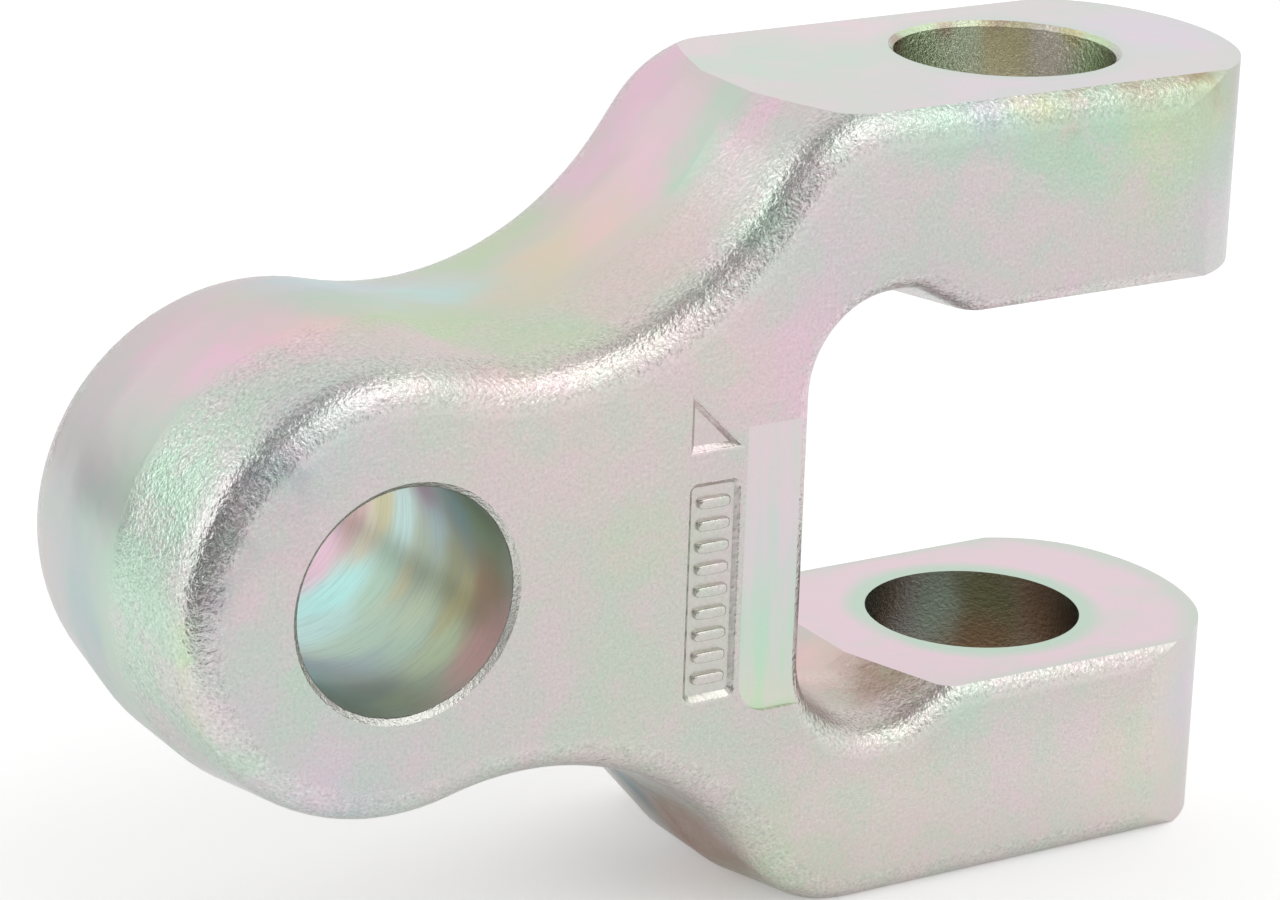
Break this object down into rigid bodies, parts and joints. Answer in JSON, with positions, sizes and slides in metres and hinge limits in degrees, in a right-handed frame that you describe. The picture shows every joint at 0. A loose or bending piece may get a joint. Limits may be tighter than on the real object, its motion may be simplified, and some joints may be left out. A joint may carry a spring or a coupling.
{
  "type": "tension rod clevis",
  "caption": "Drop-forged clevis: a thick eye with a crosswise bore, a waist, and a fork whose ears take a pin at right angles to the eye's.",
  "frame": {"origin": "centre of the eye's bore, midway between the two side faces", "axes": "+X from the eye towards the fork, +Y along the eye's bore, +Z along the fork's bore"},
  "size_m": [0.1664, 0.049, 0.1084],
  "materials": {
    "zinc_plated_steel": "zinc plating with pale iridescent passivation, grainy as forged and smooth where machined"
  },
  "bodies": {
    "root": {"clevis_body": "zinc_plated_steel"}
  },
  "joints": []
}
